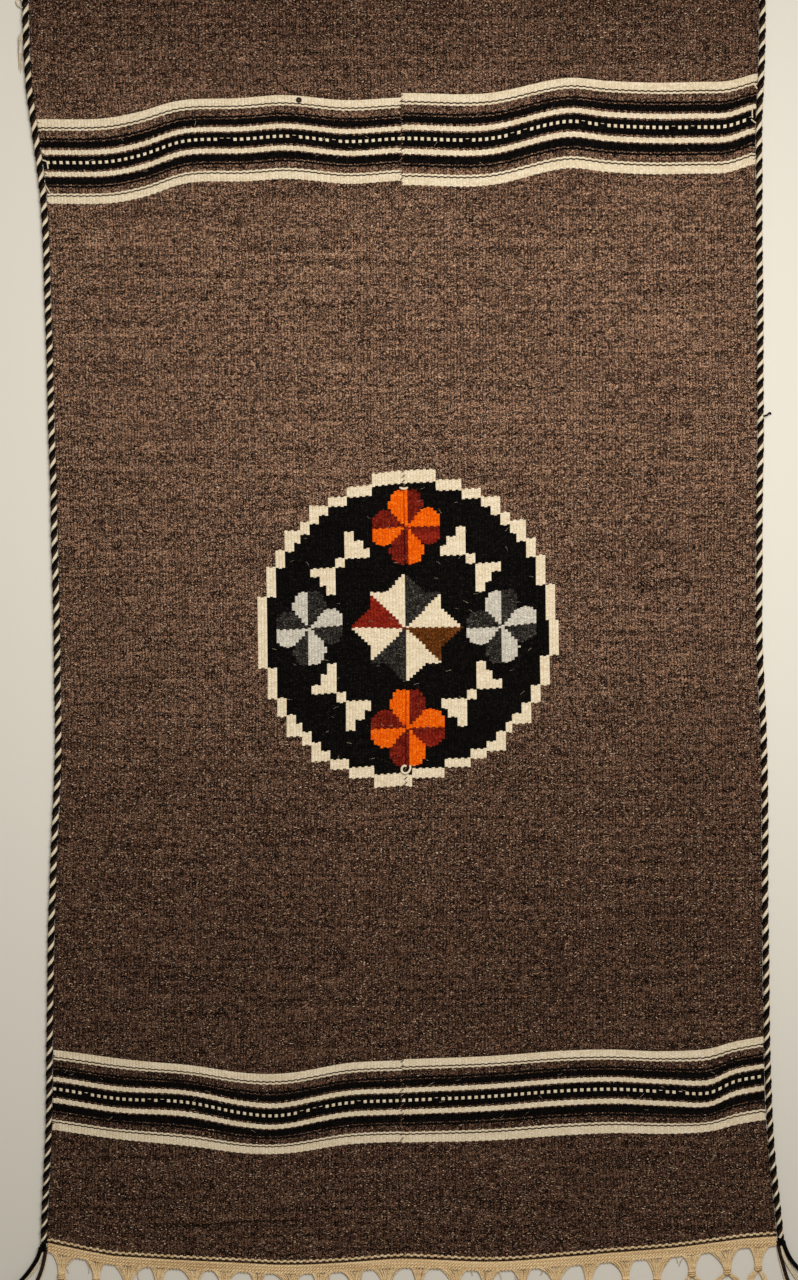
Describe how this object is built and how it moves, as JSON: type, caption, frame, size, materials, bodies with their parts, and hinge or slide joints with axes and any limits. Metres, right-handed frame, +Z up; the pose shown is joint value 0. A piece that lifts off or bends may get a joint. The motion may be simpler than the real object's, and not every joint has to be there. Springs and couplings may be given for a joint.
{
  "type": "mexican serape",
  "caption": "Hand-woven wool serape in two widths, laid flat, with a closed head slit, striped bands, a woven medallion, twisted edging cords and knotted fringe.",
  "frame": {"origin": "centre of the whole object's box in plan, on the surface that it lies on", "axes": "+Z up from the floor, +Y along the garment towards the end at the top of the picture, +X to the picture's right"},
  "size_m": [1.2927, 2.3, 0.011],
  "materials": {
    "tapestry_wool": "matte brown heather wool, weft-faced, with cream, black, orange and rust wool in its pattern",
    "edging_wool": "matte three-strand wool cord, cream, brown and black",
    "warp_cotton": "matte unbleached cotton",
    "tail_wool": "matte black and brown wool",
    "stay_yarn": "matte cream wool yarn"
  },
  "bodies": {
    "root": {"panel_left": "tapestry_wool", "panel_right": "tapestry_wool", "edging_cord_left": "edging_wool", "edging_cord_right": "edging_wool", "fringe_bottom": "warp_cotton", "fringe_top": "warp_cotton", "tail_bottom_left": "tail_wool", "tail_bottom_right": "tail_wool", "tail_top_left": "tail_wool", "tail_top_right": "tail_wool", "slit_bar_top": "stay_yarn", "slit_loop_bottom": "stay_yarn"}
  },
  "joints": []
}
